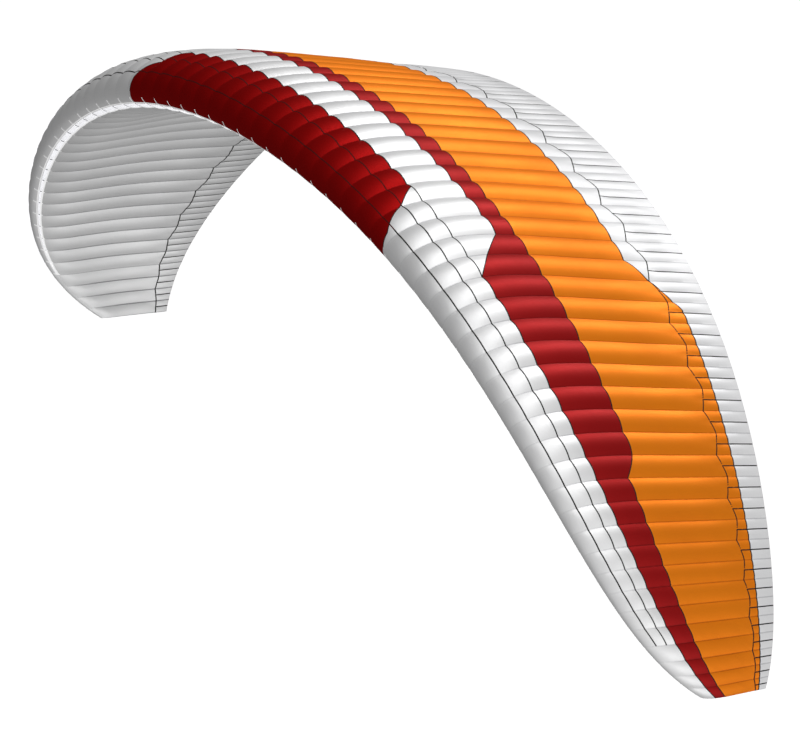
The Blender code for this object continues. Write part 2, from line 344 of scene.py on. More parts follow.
    def tail_seam(self, r: Array) -> Array:
        """Front end of the short tail ribs on the upper skin."""
        return self.stepped(self.tail_seam_odd, self.tail_seam_even, r, 1)

    def lower_front(self, r: Array) -> Array:
        """Rear lip of the intakes."""
        return self.seam(self.lower_lip, r, -1)

    def lower_seam(self, r: Array) -> Array:
        """Rear seam of the lower skin."""
        return self.stepped(self.lower_seam_odd, self.lower_seam_even, r, -1)

    def upper_tail(self, r: Array) -> Array:
        """Trailing edge of the upper skin."""
        return np.ones_like(r)

    def lower_tail(self, r: Array) -> Array:
        """Trailing edge of the lower skin."""
        return -np.ones_like(r)

    def per_q(self, r: Array, q: Array) -> Array:
        """Metres of cloth for a change of 1 in q, by a small step each way."""
        step = self.skin(r, q + self.probe) - self.skin(r, q - self.probe)
        return np.linalg.norm(step, axis=-1) / (2 * self.probe)

    @cached_property
    def _section_run(self) -> tuple[Array, Array]:
        """How far the middle section runs from the nose.

        Returns:
            Tables of q and of the way round the section, in chords.
        """
        q = np.linspace(-1, 1, self.table_steps + 1)
        height = self.thickness * self.half_thickness(q) + power_sum(self.camber, q)
        line = np.stack([q * q, height], axis=-1)
        run = np.concatenate([[0], np.cumsum(np.linalg.norm(np.diff(line, axis=0), axis=-1))])
        return q, run - run[self.table_steps // 2]

    def cloth_place(self, r: Array, q: Array) -> Array:
        """Where a point lies on the cloth's own threads, for the materials.

        Args:
            r: Stations.
            q: Places round the section.

        Returns:
            Metres along the span, metres round the section, and metres from the nearest rib.
        """
        s = self.span_share(r)
        run = np.interp(q, *self._section_run) * self.chord(np.abs(s))
        part = np.mod(r, 1.0)
        rib = np.minimum(part, 1 - part) * self.cell_width(r)
        return np.stack([(1 - s) * self.half_span, run, rib], axis=-1)

    def stations(self, start: float, end: float) -> Array:
        """Stations at each step of the cells, with the two ends as given.

        Args:
            start: First station.
            end: Last station.

        Returns:
            Values of r.
        """
        steps = np.arange(self.cells * self.steps_per_cell + 1) / self.steps_per_cell
        inner = steps[(steps > start + self.least_step) & (steps < end - self.least_step)]
        return np.concatenate([[start], inner, [end]])

    def flat_size(self, stations: Array, front: Row, rear: Row) -> tuple[float, float]:
        """Room that the flat cloth needs: its longest row by its longest chord run.

        Args:
            stations: Values of r.
            front: Front border.
            rear: Rear border.

        Returns:
            Width along the span and length along the chord.
        """
        first, last = front(stations), rear(stations)
        inset = self.flat_inset * np.sign(np.mean(last - first))
        width = max(run_lengths(self.skin(stations, q)) for q in (first + inset, last - inset))
        share = np.linspace(0, 1, self.flat_rows)[:, None]
        q = first * (1 - share) + last * share
        length = run_lengths(self.skin(np.broadcast_to(stations, q.shape), q)).max()
        return float(width) * self.flat_room, float(length) * self.flat_room


CANOPY = Canopy()


@dataclass
class Pattern:
    """Cloth drawn flat: places in (r, q), and faces as a run of corners with each face's size."""

    places: Array
    corners: Array
    sizes: Array

    @staticmethod
    def panel(stations: Array, front: Row, rear: Row, count: int) -> Pattern:
        """Pattern between two border rows, set back from both by the gap of a seam.

        Args:
            stations: Values of r.
            front: First row.
            rear: Last row.
            count: How many rows of vertices it has.

        Returns:
            The pattern in quads, wound clockwise as seen from outside the wing.
        """
        first, last = front(stations), rear(stations)
        sense = np.sign(np.mean(last - first))
        first = first + sense * CANOPY.seam_gap / CANOPY.per_q(stations, first)
        inner = last - sense * 2 * CANOPY.probe
        last = last - sense * CANOPY.seam_gap / CANOPY.per_q(stations, inner)
        share = np.linspace(0, 1, count)[:, None]
        rows = first * (1 - share) + last * share
        places = np.stack([np.broadcast_to(stations, rows.shape), rows], axis=-1).reshape(-1, 2)
        quads = grid_quads(*rows.shape)
        corners = quads.reshape(-1)
        return Pattern(places, corners[::-1].copy() if sense < 0 else corners, quad_sizes(quads))

    def kept(self, keep: Array) -> Pattern:
        """Pattern with only the faces that keep marks, without the loose places."""
        used, corners = np.unique(self.corners[np.repeat(keep, self.sizes)], return_inverse=True)
        return Pattern(self.places[used], corners, self.sizes[keep])

    def centres(self) -> Array:
        """Middle of each face in (r, q)."""
        total = np.add.reduceat(self.places[self.corners], face_starts(self.sizes), axis=0)
        return total / self.sizes[:, None]

    def split(self, line: Array) -> Pattern:
        """Pattern with its faces cut along a bent line, so that none crosses it.

        Args:
            line: Points in (r, q) of the line's bends.

        Returns:
            The cut pattern, with every face still there.
        """
        mesh = bpy.data.meshes.new("pattern")
        fill_mesh(mesh, np.pad(self.places, ((0, 0), (0, 1))), self.corners, self.sizes)
        work = bmesh.new()
        work.from_mesh(mesh)
        for start, end in zip(line[:-1], line[1:]):
            run = end - start
            bmesh.ops.bisect_plane(
                work,
                geom=work.verts[:] + work.edges[:] + work.faces[:],
                plane_co=(*start, 0),
                plane_no=Vector((-run[1], run[0], 0)).normalized(),
                dist=1e-5,
            )
        bmesh.ops.triangulate(work, faces=[face for face in work.faces if len(face.verts) > 4])
        work.to_mesh(mesh)
        work.free()
        places = np.empty(len(mesh.vertices) * 3)
        mesh.vertices.foreach_get("co", places)
        corners = np.empty(len(mesh.loops), dtype=int)
        mesh.loops.foreach_get("vertex_index", corners)
        sizes = np.empty(len(mesh.polygons), dtype=int)
        mesh.polygons.foreach_get("loop_total", sizes)
        bpy.data.meshes.remove(mesh)
        return Pattern(places.reshape(-1, 3)[:, :2], corners, sizes)


def grid_quads(rows: int, width: int) -> Array:
    """Quads between neighbouring vertices of a grid that is numbered row after row.

    Args:
        rows: How many rows it has.
        width: How many vertices are in each.

    Returns:
        Vertex numbers, n by 4.
    """
    near = (np.arange(rows - 1)[:, None] * width + np.arange(width - 1)).reshape(-1, 1)
    return near + np.array([0, 1, width + 1, width])


def quad_sizes(quads: Array) -> Array:
    """Number of corners of each quad."""
    return np.full(len(quads), 4)


def face_starts(sizes: Array) -> Array:
    """Number of each face's first corner."""
    return np.concatenate([[0], np.cumsum(sizes)[:-1]])


def fill_mesh(mesh: bpy.types.Mesh, points: Array, corners: Array, sizes: Array) -> None:
    """Put whole arrays of points and faces into an empty mesh.

    Args:
        mesh: Empty mesh.
        points: Places of the vertices.
        corners: Vertex numbers, face after face.
        sizes: How many corners each face has.
    """
    mesh.vertices.add(len(points))
    mesh.vertices.foreach_set("co", np.asarray(points, np.float32).reshape(-1))
    mesh.loops.add(len(corners))
    mesh.loops.foreach_set("vertex_index", np.asarray(corners, np.int32))
    mesh.polygons.add(len(sizes))
    mesh.polygons.foreach_set("loop_start", face_starts(sizes).astype(np.int32))
    mesh.update(calc_edges=True)


def closed_faces(corners: Array, sizes: Array, count: int) -> tuple[Array, Array]:
    """Faces of a thin shell from the faces of its first side.

    The other side repeats the first one, turned round, with its vertices numbered count further
    on. Where a face's edge has no neighbour, a quad joins the two sides.

    Args:
        corners: Vertex numbers of the first side, face after face.
        sizes: How many corners each face has.
        count: How many vertices one side has.

    Returns:
        Corners and sizes of all faces.
    """
    starts = face_starts(sizes)
    following = np.arange(len(corners)) + 1
    following[starts + sizes - 1] = starts
    here, there = corners, corners[following]
    lone = ~np.isin(here * count + there, there * count + here)
    a, b = here[lone], there[lone]
    rim = np.stack([b, a, a + count, b + count], axis=-1)
    everything = np.concatenate([corners, corners[::-1] + count, rim.reshape(-1)])
    return everything, np.concatenate([sizes, sizes[::-1], quad_sizes(rim)])


def surface_area(points: Array, corners: Array, sizes: Array) -> float:
    """Area of a mesh's faces, from the triangles that fan out of each face's first corner.

    Args:
        points: Places of the vertices.
        corners: Vertex numbers, face after face.
        sizes: How many corners each face has.

    Returns:
        Square metres.
    """
    starts = face_starts(sizes)
    total = 0.0
    for k in range(1, int(sizes.max()) - 1):
        wide = sizes > k + 1
        a, b, c = (points[corners[starts[wide] + j]] for j in (0, k, k + 1))
        total += float(np.linalg.norm(np.cross(b - a, c - a), axis=-1).sum() / 2)
    return total


# Finishes


class NodeSheet:
    """Small helper that adds nodes to one node tree and joins them."""

    def __init__(self, tree: bpy.types.NodeTree) -> None:
        """Keep the tree that the nodes go to."""
        self.tree = tree

    def feed(self, node: bpy.types.Node, inputs: Inputs) -> None:
        """Give a node its inputs.

        Args:
            node: The node.
            inputs: For a socket's name or number, the value or the socket that feeds it.
        """
        for key, value in inputs.items():
            if isinstance(value, Socket):
                self.tree.links.new(value, node.inputs[key])
            else:
                node.inputs[key].default_value = value

    def add(self, kind: str, inputs: Inputs | None = None, **values: object) -> bpy.types.Node:
        """Add a node.

        Args:
            kind: Type of the node, without its ShaderNode prefix.
            inputs: For a socket's name or number, the value or the socket that feeds it.
            values: Properties of the node.

        Returns:
            The node.
        """
        node = self.tree.nodes.new(kind if kind.startswith("Node") else "ShaderNode" + kind)
        for key, value in values.items():
            setattr(node, key, value)
        self.feed(node, inputs or {})
        return node

    def math(self, operation: str, *values: Socket | float, clamp: bool = False) -> Socket:
        """Result of a Math node on numbers or sockets."""
        node = self.add("Math", dict(enumerate(values)), operation=operation, use_clamp=clamp)
        return node.outputs[0]

    def times(self, first: Socket | float, *others: Socket | float) -> Socket | float:
        """Product of numbers and sockets, worked out from the last to the first."""
        return self.math("MULTIPLY", first, self.times(*others)) if others else first

    def fall(self, distance: Socket, reach: Socket) -> Socket:
        """Factor that falls from 1 to 0 within a reach."""
        return self.math("SUBTRACT", 1.0, self.math("DIVIDE", distance, reach), clamp=True)

    def scaled(self, vector: Socket, factors: Triple) -> Socket:
        """Vector with each of its parts multiplied."""
        return self.add("VectorMath", {0: vector, 1: factors}, operation="MULTIPLY").outputs[0]

    def noise(self, vector: Socket, scale: Socket | float, detail: float) -> Socket:
        """Height of a Noise Texture, round one half."""
        return self.add("TexNoise", {"Vector": vector, "Scale": scale, "Detail": detail}).outputs[0]

    def mix(self, share: Socket, first: Triple, second: Triple) -> Socket:
        """Colour between two, where share is 0 at the first and 1 at the second."""
        inputs = {0: share, 6: opaque(first), 7: opaque(second)}
        return self.add("Mix", inputs, data_type="RGBA").outputs[2]

    def bump(self, height: Socket, distance: float, strength: float, **below: Socket) -> Socket:
        """Normal of a Bump node, on the one below when its Normal is given."""
        inputs = {"Height": height, "Distance": distance, "Strength": strength}
        return self.add("Bump", inputs | below).outputs[0]


class MaterialSheet(NodeSheet):
    """Nodes of a new material, round its Principled BSDF."""

    def __init__(self, name: str) -> None:
        """Make the material.

        Args:
            name: Name of the material.
        """
        self.material = bpy.data.materials.new(name)
        self.material.use_nodes = True
        super().__init__(self.material.node_tree)

    @cached_property
    def place(self) -> Socket:
        """Place on the cloth's own threads."""
        return self.add("Attribute", attribute_name="cloth").outputs["Vector"]

    def finished(self, colour: Socket, painted_glow: float, inputs: Inputs) -> bpy.types.Material:
        """Feed the shader.

        Args:
            colour: Colour of the surface and of its emission.
            painted_glow: Strength of its emission, light painted into the surface, which is no
                lamp.
            inputs: The shader's other inputs.

        Returns:
            The material.
        """
        # Emission painted into the surface: painted light, not a lamp.
        if painted_glow > 0:
            inputs = inputs | {"Emission Color": colour, "Emission Strength": painted_glow}
        self.feed(self.tree.nodes["Principled BSDF"], inputs | {"Base Color": colour})
        return self.material


class GroupSheet(NodeSheet):
    """Nodes of a new shader node group, which works on a place on the cloth."""

    def __init__(self, name: str, numbers: dict[str, float], outputs: Sequence[str]) -> None:
        """Make the group.

        Args:
            name: Name of the group.
            numbers: For the name of each input besides the place, its first value.
            outputs: Names of the outputs, which are all numbers.
        """
        super().__init__(bpy.data.node_groups.new(name, "ShaderNodeTree"))
        interface = self.tree.interface
        interface.new_socket("Place", in_out="INPUT", socket_type="NodeSocketVector")
        for label, value in numbers.items():
            socket = interface.new_socket(label, in_out="INPUT", socket_type="NodeSocketFloat")
            socket.default_value = value
        for label in outputs:
            interface.new_socket(label, in_out="OUTPUT", socket_type="NodeSocketFloat")
        self.given = self.add("NodeGroupInput").outputs

    def finished(self, results: Inputs) -> bpy.types.NodeTree:
        """Feed the group's outputs.

        Args:
            results: The socket that feeds each output.

        Returns:
            The group.
        """
        self.feed(self.add("NodeGroupOutput"), results)
        return self.tree


@dataclass(frozen=True)
class Effects:
    """Shader node groups that the cloths share, each built once. Lengths are in metres."""

    thread_pitch: float = 0.005
    thread_steepness: float = 7.0
    fine_scale: float = 900.0
    fine_share: float = 0.5
    pucker_reach: float = 0.045
    pucker_stretch: Triple = (9.0, 42.0, 0.0)
    line_width: float = 0.007
    stretched_nose: float = 0.40
    stitches_per_metre: float = 200.0
    stitch_share: float = 0.6
    stitch_row: float = 0.0035
    stitch_half_width: float = 0.0006
    crease_scale: float = 6.0
    crease_stretch: Triple = (0.6, 1.6, 0.0)
    shade_scale: float = 1.7

    @cached_property
    def ripstop(self) -> bpy.types.NodeTree:
        """Ripstop weave: a thicker thread every few millimetres both ways, over fine threads.

        Its Height is the higher of two ridges, one for each direction, plus the fine threads.

        Returns:
            A group with the outputs Height and Thread.
        """
        sheet = GroupSheet("ripstop", {"Pitch": self.thread_pitch}, ("Height", "Thread"))
        ridges = []
        for axis in sheet.add("SeparateXYZ", {0: sheet.given["Place"]}).outputs[:2]:
            wave = sheet.math("PINGPONG", sheet.math("DIVIDE", axis, sheet.given["Pitch"]), 0.5)
            slope = sheet.times(wave, self.thread_steepness)
            ridges.append(sheet.math("SUBTRACT", 1.0, slope, clamp=True))
        thread = sheet.math("MAXIMUM", *ridges)
        fine = sheet.noise(sheet.given["Place"], self.fine_scale, 1.0)
        height = sheet.math("ADD", thread, sheet.times(fine, self.fine_share))
        return sheet.finished({"Height": height, "Thread": thread})

    @cached_property
    def rib_seam(self) -> bpy.types.NodeTree:
        """Sewn seam along each rib, from the distance to it.

        Line is dark on the seam and the crease that it lies in: partly the seam's own colour,
        partly painted shade in the crease. Stitch marks two rows of stitches beside it, and Height
        holds the puckers that run out square to the seam and die out within a hand's width. Line
        and Height grow from nothing at the nose, where the cloth is stretched smooth.

        Returns:
            A group with the outputs Height, Line and Stitch.
        """
        numbers = {"Reach": self.pucker_reach, "Width": self.line_width}
        sheet = GroupSheet("rib_seam", numbers, ("Height", "Line", "Stitch"))
        place = sheet.given["Place"]
        run, rib = sheet.add("SeparateXYZ", {0: place}).outputs[1:]
        line = sheet.fall(rib, sheet.given["Width"])
        fall = sheet.fall(rib, sheet.given["Reach"])
        waves = sheet.noise(sheet.scaled(place, self.pucker_stretch), 1.0, 1.5)
        pucker = sheet.math("SUBTRACT", waves, 0.5)
        grown = sheet.math("DIVIDE", sheet.math("ABSOLUTE", run), self.stretched_nose, clamp=True)
        part = sheet.math("FRACT", sheet.times(run, self.stitches_per_metre))
        dash = sheet.math("LESS_THAN", part, self.stitch_share)
        beside = sheet.math("COMPARE", rib, self.stitch_row, self.stitch_half_width)
        height = sheet.times(pucker, fall, fall, grown)
        results = {"Height": height, "Line": sheet.times(line, grown)}
        return sheet.finished(results | {"Stitch": sheet.times(dash, beside)})

    @cached_property
    def soft_creases(self) -> bpy.types.NodeTree:
        """Slack in the cloth: broad, faint waves, longer across the cell than along the chord.

        Returns:
            A group with the outputs Height and Shade.
        """
        sheet = GroupSheet("soft_creases", {"Scale": self.crease_scale}, ("Height", "Shade"))
        place = sheet.given["Place"]
        height = sheet.noise(sheet.scaled(place, self.crease_stretch), sheet.given["Scale"], 2.0)
        shade = sheet.noise(place, self.shade_scale, 2.0)
        return sheet.finished({"Height": height, "Shade": shade})


EFFECTS = Effects()


@dataclass(frozen=True)
class ClothFinish:
    """Coated ripstop cloth, with its shade along threads and seams and in broad, faint waves.
    Along the ribs that shade is partly the seam's colour and partly painted shade in the crease.

    lustre and gloss are the coating's two kinds of sheen, valley is how dark a seam's line is,
    painted shade in the crease included, and glow is emission painted into the cloth, which is
    no lamp.
    """

    name: str
    colour: Triple
    shade: Triple
    # Emission of the cloth: painted light, as the cloth is no lamp.
    painted_glow: float = 0.0
    slot: Slot = Slot.WHITE
    lustre: float = 0.63
    gloss: float = 0.15
    seam_and_shade: float = 0.45
    fading: float = 0.28
    threads: float = 0.10
    stitches: float = 0.35
    smoothest: float = 0.47
    roughening: float = 0.12
    puckers: float = 0.0022
    creases: float = 0.004
    weave: float = 0.00006
    relief: float = 0.6
    tint: float = 0.35

    @cached_property
    def material(self) -> bpy.types.Material:
        """Material with the weave, the seams and the creases, made at its first use.

        Returns:
            The material.
        """
        sheet = MaterialSheet(self.name)
        weave, seams, creases = (
            sheet.add("Group", {"Place": sheet.place}, node_tree=group).outputs
            for group in (EFFECTS.ripstop, EFFECTS.rib_seam, EFFECTS.soft_creases)
        )
        faded = sheet.times(creases["Shade"], self.fading)
        threads = sheet.times(weave["Thread"], self.threads)
        # Dark line along each rib: partly the seam's own colour, partly painted shade in the
        # crease.
        lines = sheet.times(seams["Line"], self.seam_and_shade)
        stitches = sheet.times(seams["Stitch"], self.stitches)
        soft, sewn = sheet.math("ADD", faded, threads), sheet.math("ADD", lines, stitches)
        normal = sheet.bump(seams["Height"], self.puckers, 1.0)
        normal = sheet.bump(creases["Height"], self.creases, self.relief, Normal=normal)
        normal = sheet.bump(weave["Height"], self.weave, self.relief, Normal=normal)
        rougher = sheet.times(creases["Shade"], self.roughening)
        inputs = {
            "Roughness": sheet.math("ADD", self.smoothest, rougher),
            "Metallic": self.lustre,
            "Specular IOR Level": self.gloss,
            "Specular Tint": opaque(grey(self.tint)),
            "Normal": normal,
        }
        colour = sheet.mix(sheet.math("ADD", soft, sewn, clamp=True), self.colour, self.shade)
        return sheet.finished(colour, self.painted_glow, inputs)


@dataclass(frozen=True)
class TapeFinish:
    """Woven tape and thread, with ribs across it and its shade as a fleck in its colour."""

    name: str
    colour: Triple
    shade: Triple
    # Emission of the tape: painted light, as the tape is no lamp.
    painted_glow: float = 0.0
    pitch: float = 0.0012
    fleck_scale: float = 140.0
    weave: float = 0.0002
    relief: float = 0.7
    roughness: float = 0.75
    gloss: float = 0.12

    @cached_property
    def material(self) -> bpy.types.Material:
        """Material with the weave and the fleck, made at its first use.

        Returns:
            The material.
        """
        sheet = MaterialSheet(self.name)
        inputs = {"Place": sheet.place, "Pitch": self.pitch}
        weave = sheet.add("Group", inputs, node_tree=EFFECTS.ripstop)
        normal = sheet.bump(weave.outputs["Height"], self.weave, self.relief)
        fleck = sheet.noise(sheet.place, self.fleck_scale, 2.0)
        inputs = {"Roughness": self.roughness, "Specular IOR Level": self.gloss, "Normal": normal}
        return sheet.finished(sheet.mix(fleck, self.colour, self.shade), self.painted_glow, inputs)


# White cloth, with emission: painted light that brightens it.
WHITE = ClothFinish("white_ripstop", grey(0.90), (0.36, 0.36, 0.38), painted_glow=0.09)
# The tail's white cloth, a little darker than the white above: painted shade that tones its
# highlights down, with emission as painted light.
TAIL = ClothFinish("tail_ripstop", (0.84, 0.84, 0.845), (0.30, 0.30, 0.32), painted_glow=0.10, lustre=0.35)
# Lower skin, with its seam lines darker still: painted shade in the creases between its cells.
PALE = ClothFinish("pale_ripstop", grey(0.88), (0.30, 0.30, 0.31), slot=Slot.PALE, seam_and_shade=1.1)
# The nose's red: the band's red cloth made a little darker, painted shade for a nose that faces
# away from the light.
DARK_RED = ClothFinish(
    "red_ripstop_painted_shade", (0.38, 0.004, 0.004), (0.12, 0.001, 0.001), slot=Slot.DARK_RED
)
RED = ClothFinish(
    "red_ripstop", (0.42, 0.006, 0.007), (0.12, 0.002, 0.002), slot=Slot.RED, gloss=0.85
)
# Orange, with emission: painted light that lifts the shaded sides of its cells.
ORANGE = ClothFinish(
    "orange_ripstop", (1.0, 0.272, 0.007), (0.42, 0.07, 0.002), 0.08, Slot.ORANGE, gloss=0.9
)
# Rib cloth, with emission: painted light that brightens the ribs seen through the intakes.
RIB = ClothFinish("rib_ripstop", (0.84, 0.84, 0.85), (0.55, 0.55, 0.57), 0.25, Slot.RIB)
# Lining of the panels' inner faces, with strong emission: painted light that makes the insides seen
# through the intakes look brightly lit.
LINING = ClothFinish("lining_painted_light", grey(0.92), grey(0.70), painted_glow=0.42)
THREAD = TapeFinish("dark_seam_tape", (0.010, 0.009, 0.009), (0.026, 0.024, 0.023))
DARK_THREAD = TapeFinish("red_seam_tape", (0.05, 0.002, 0.002), (0.08, 0.004, 0.004))
FINE_THREAD = TapeFinish("grey_seam_tape", (0.07, 0.07, 0.075), (0.14, 0.14, 0.15))
# White tape of the intake lips and rib tabs, with emission: painted light that keeps it bright in
# the shade of the nose.
LIP_TAPE = TapeFinish("white_lip_tape", grey(0.90), grey(0.78), painted_glow=0.35)


# Pieces


@dataclass
class Shell:
    """Closed surface in space: its points, their places on the cloth, and its faces."""

    points: Array
    places: Array
    corners: Array
    sizes: Array

    @staticmethod
    def joined(parts: Sequence[Shell]) -> Shell:
        """One shell that holds several.

        Args:
            parts: The shells.

        Returns:
            Their points and faces in turn.
        """
        first = face_starts(np.array([len(part.points) for part in parts]))
        return Shell(
            np.concatenate([part.points for part in parts]),
            np.concatenate([part.places for part in parts]),
            np.concatenate([part.corners + start for part, start in zip(parts, first)]),
            np.concatenate([part.sizes for part in parts]),
        )

    def mesh(
        self, name: str, bend: float, *finishes: ClothFinish | TapeFinish
    ) -> bpy.types.Mesh:
        """Mesh of the shell, shaded smooth.

        Args:
            name: Name of the mesh.
            bend: Degrees over which an edge between two faces stays sharp.
            finishes: Finishes in it, of which every face has the first.

        Returns:
            The mesh, with each vertex's place on the cloth in its attribute for the materials.
        """
        mesh = bpy.data.meshes.new(name)
        fill_mesh(mesh, self.points, self.corners, self.sizes)
        attribute = mesh.attributes.new("cloth", "FLOAT_VECTOR", "POINT")
        attribute.data.foreach_set("vector", np.asarray(self.places, np.float32).reshape(-1))
        for finish in finishes:
            mesh.materials.append(finish.material)
        mesh.polygons.foreach_set("use_smooth", np.ones(len(mesh.polygons), bool))
        mesh.set_sharp_from_angle(angle=math.radians(bend))
        mesh.update()
        return mesh


def new_piece(name: str, mesh: bpy.types.Mesh, slot: Slot, *nodes: str) -> bpy.types.Object:
    """Object for a finished mesh that rides on the wing.

    Args:
        name: Name of the piece.
        mesh: Its mesh, in place.
        slot: Material slot of the record that its finish belongs to; not used.
        nodes: CAD nodes that it stands for.

    Returns:
        The object.
    """
    piece = bpy.data.objects.new(name, mesh)
    bpy.context.scene.collection.objects.link(piece)
    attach(piece, "root")
    if nodes:
        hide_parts(*nodes)
    LOG.info("%s: %d faces", name, len(mesh.polygons))
    return piece


@dataclass
class Panel:
    """One panel of the canopy, sewn of one cloth.

    It is two layers of vertices half a ply inside and outside its middle surface, closed round
    its edge.
    """

    node: str
    finish: ClothFinish
    pattern: Pattern
    flat: tuple[float, float]
    bend: float = 22.0

    @staticmethod
    def between(
        node: str, finish: ClothFinish, stations: Array, front: Row, rear: Row, count: int
    ) -> None:
        """Build the panel between two borders.

        Args:
            node: CAD node that it stands for.
            finish: Its cloth.
            stations: Values of r.
            front: Front border.
            rear: Rear border.
            count: How many rows of vertices it has.
        """
        pattern = Pattern.panel(stations, front, rear, count)
        Panel(node, finish, pattern, CANOPY.flat_size(stations, front, rear)).build()

    def build(self) -> bpy.types.Object:
        """Inflate the pattern.

        Returns:
            The panel's object.
        """
        r, q = self.pattern.places.T
        outer = CANOPY.skin(r, q, CANOPY.lift + CANOPY.ply / 2)
        inner = CANOPY.skin(r, q, CANOPY.lift - CANOPY.ply / 2)
        places = np.tile(CANOPY.cloth_place(r, q), (2, 1))
        faces = closed_faces(self.pattern.corners, self.pattern.sizes, len(r))
        shell = Shell(np.concatenate([outer, inner]), places, *faces)
        mesh = shell.mesh(self.node, self.bend, self.finish, LINING)
        side = len(self.pattern.sizes)
        index = np.zeros(len(shell.sizes), np.int32)
        # The inner faces take the lining, whose emission is painted light inside the wing.
        index[side : 2 * side] = 1
        mesh.polygons.foreach_set("material_index", index)
        piece = new_piece("cloth_" + self.node, mesh, self.finish.slot, self.node)
        return piece


@dataclass
class Strip:
    """Tape or thread laid on the cloth: a low closed bar that follows a line in (r, q).

    Its section has three points on top, the middle one highest, and two below.
    """

    name: str
    finish: TapeFinish
    width: float
    height: float = 0.0008
    base: float = 0.0001
    shoulder: float = 0.6
    bend: float = 30.0

    def along_span(self, stations: Array, row: Row) -> tuple[Array, Array]:
        """Lines of the bar's edges for a row across the cells.

        Args:
            stations: Values of r.
            row: Row that it covers.

        Returns:
            r and q of its front edge, middle and rear edge, each 3 by n.
        """
        q = row(stations)
        half = self.width / 2 / CANOPY.per_q(stations, q)
        lines = np.clip(np.stack([q - half, q, q + half]), -1, 1)
        return np.broadcast_to(stations, lines.shape), lines

    def along_chord(self, r: Array | float, q: Array) -> tuple[Array, Array]:
        """Lines of the bar's edges for a line that runs down the chord.

        Args:
            r: Its station, or one for each place.
            q: Places round the section.

        Returns:
            r and q of its two edges with its middle between them, each 3 by n.
        """
        r = np.broadcast_to(r, q.shape)
        half = self.width / 2 / CANOPY.cell_width(r)
        return np.stack([r + half, r, r - half]), np.broadcast_to(q, (3, len(q)))

    def bar(self, r: Array, q: Array) -> Shell:
        """One bar.

        Args:
            r: Stations of its three lines, 3 by n.
            q: Places of its three lines, 3 by n.

        Returns:
            Its shell.
        """
        low = CANOPY.lift + CANOPY.ply / 2 + self.base
        edge, top = low + self.height * self.shoulder, low + self.height
        section = ((0, low), (0, edge), (1, top), (2, edge), (2, low))
        points = np.concatenate([CANOPY.skin(r[k], q[k], out) for k, out in section])
        places = np.concatenate([CANOPY.cloth_place(r[k], q[k]) for k, _ in section])
        count, n = len(section), r.shape[1]
        quads = grid_quads(count + 1, n) % (count * n)
        ends = np.arange(count) * n
        corners = np.concatenate([quads.reshape(-1), ends, ends[::-1] + n - 1])
        return Shell(points, places, corners, np.append(quad_sizes(quads), [count, count]))

    def build(self, lines: Sequence[tuple[Array, Array]], flip: bool = False) -> bpy.types.Object:
        """Lay the bars.

        Args:
            lines: For each bar, r and q of its three lines.
            flip: Whether its faces are turned round.

        Returns:
            One object with all the bars.
        """
        shell = Shell.joined([self.bar(r, q) for r, q in lines])
        if flip:
            shell.corners, shell.sizes = shell.corners[::-1].copy(), shell.sizes[::-1].copy()
        return new_piece(self.name, shell.mesh(self.name, self.bend, self.finish), Slot.RIB)


@dataclass
class UpperSkin:
    """Nose panels, colour bands and tail panel of the upper skin.

    The white band starts where it is just open, which is counted in cells.
    """

    nose_rows: int = 30
    band_rows: int = 8
    orange_rows: int = 18
    tail_rows: int = 16
    band_start: float = 0.12
    nose_border: tuple[Border, ...] = (
        (24.10, -0.14),
        (24.15, 0.0),
        (24.30, 0.122),
        (25.10, 0.308),
        (26.00, 0.43),
    )

    def build(self) -> None:
        """Make the seven panels."""
        self.nose()
        whole = CANOPY.stations(0, CANOPY.cells)
        opens = CANOPY.white_band_opens[0] + self.band_start
        middle = CANOPY.stations(opens, CANOPY.cells - opens)
        for node, finish, stations, front, rear, count in (
            ("band_white", WHITE, middle, CANOPY.nose_rear, CANOPY.red_front, self.band_rows),
            ("band_red", RED, whole, CANOPY.red_front, CANOPY.red_rear, self.band_rows),
            ("band_orange", ORANGE, whole, CANOPY.red_rear, CANOPY.orange_rear, self.orange_rows),
            ("trailing_upper", TAIL, whole, CANOPY.orange_rear, CANOPY.upper_tail, self.tail_rows),
        ):
            Panel.between(node, finish, stations, front, rear, count)

    def nose(self) -> None:
        """Make the three nose panels, parted along two slanted borders.

        One pattern is split along both borders, and each panel keeps the faces on its side.
        """
        borders = CANOPY.nose_front, CANOPY.nose_rear
        whole = CANOPY.stations(0, CANOPY.cells)
        near = np.array(self.nose_border)
        far = near * [-1, 1] + [CANOPY.cells, 0]
        pattern = Pattern.panel(whole, *borders, self.nose_rows).split(near).split(far)
        r, q = pattern.centres().T
        right = r < np.interp(q, near[:, 1], near[:, 0])
        left = r > np.interp(q, far[:, 1], far[:, 0])
        for node, finish, keep in (
            ("nose_white_right", WHITE, right),
            ("nose_red", DARK_RED, ~right & ~left),
            ("nose_white_left", WHITE, left),
        ):
            part = pattern.kept(keep)
            low, high = part.places[:, 0].min(), part.places[:, 0].max()
            stations = CANOPY.stations(float(low), float(high))
            Panel(node, finish, part, CANOPY.flat_size(stations, *borders)).build()


